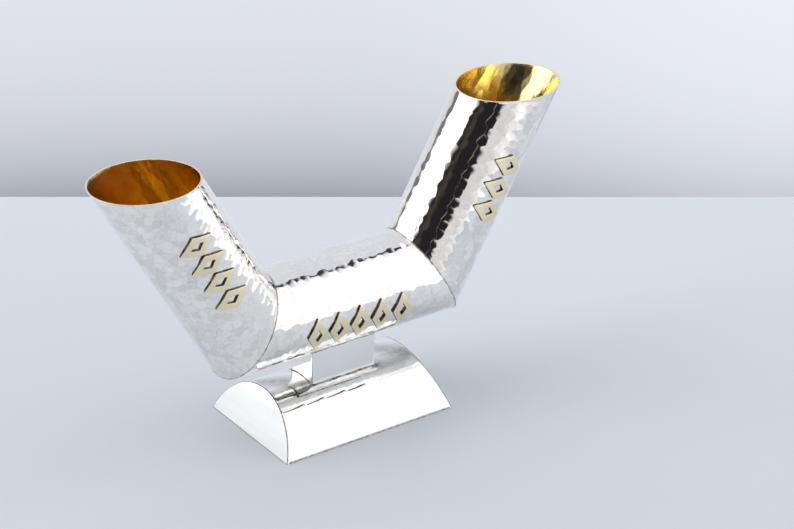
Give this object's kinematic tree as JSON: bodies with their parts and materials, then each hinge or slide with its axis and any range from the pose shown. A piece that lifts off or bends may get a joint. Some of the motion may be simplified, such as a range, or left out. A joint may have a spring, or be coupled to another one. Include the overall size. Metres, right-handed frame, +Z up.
{
  "type": "double-mouthed hand-washing vessel",
  "caption": "Ritual hand-washing vessel: one hammered silver channel with two raised round mouths, gilt inside, on a flat neck and a half-round foot, with brass lozenges.",
  "frame": {"origin": "middle of the foot's underside, on the table", "axes": "+X from the left mouth to the right mouth, -Y towards the side with the lozenges, +Z up"},
  "size_m": [0.2658, 0.068, 0.1532],
  "materials": {
    "hammered_silver": "polished",
    "gilding": "polished",
    "silver_solder": "polished",
    "polished_silver": "polished",
    "brass": "satin"
  },
  "bodies": {
    "root": {"left_arm": "hammered_silver", "middle_tube": "hammered_silver", "right_arm": "hammered_silver", "left_gilding": "gilding", "middle_gilding": "gilding", "right_gilding": "gilding", "left_elbow_solder": "silver_solder", "right_elbow_solder": "silver_solder", "neck": "polished_silver", "neck_top_solder": "silver_solder", "neck_foot_solder": "silver_solder", "foot_shell": "polished_silver", "foot_left_end": "polished_silver", "foot_right_end": "polished_silver", "foot_plate": "polished_silver", "left_lozenge_1": "brass", "left_lozenge_2": "brass", "left_lozenge_3": "brass", "left_lozenge_4": "brass", "middle_lozenge_1": "brass", "middle_lozenge_2": "brass", "middle_lozenge_3": "brass", "middle_lozenge_4": "brass", "middle_lozenge_5": "brass", "right_lozenge_1": "brass", "right_lozenge_2": "brass", "right_lozenge_3": "brass"}
  },
  "joints": []
}
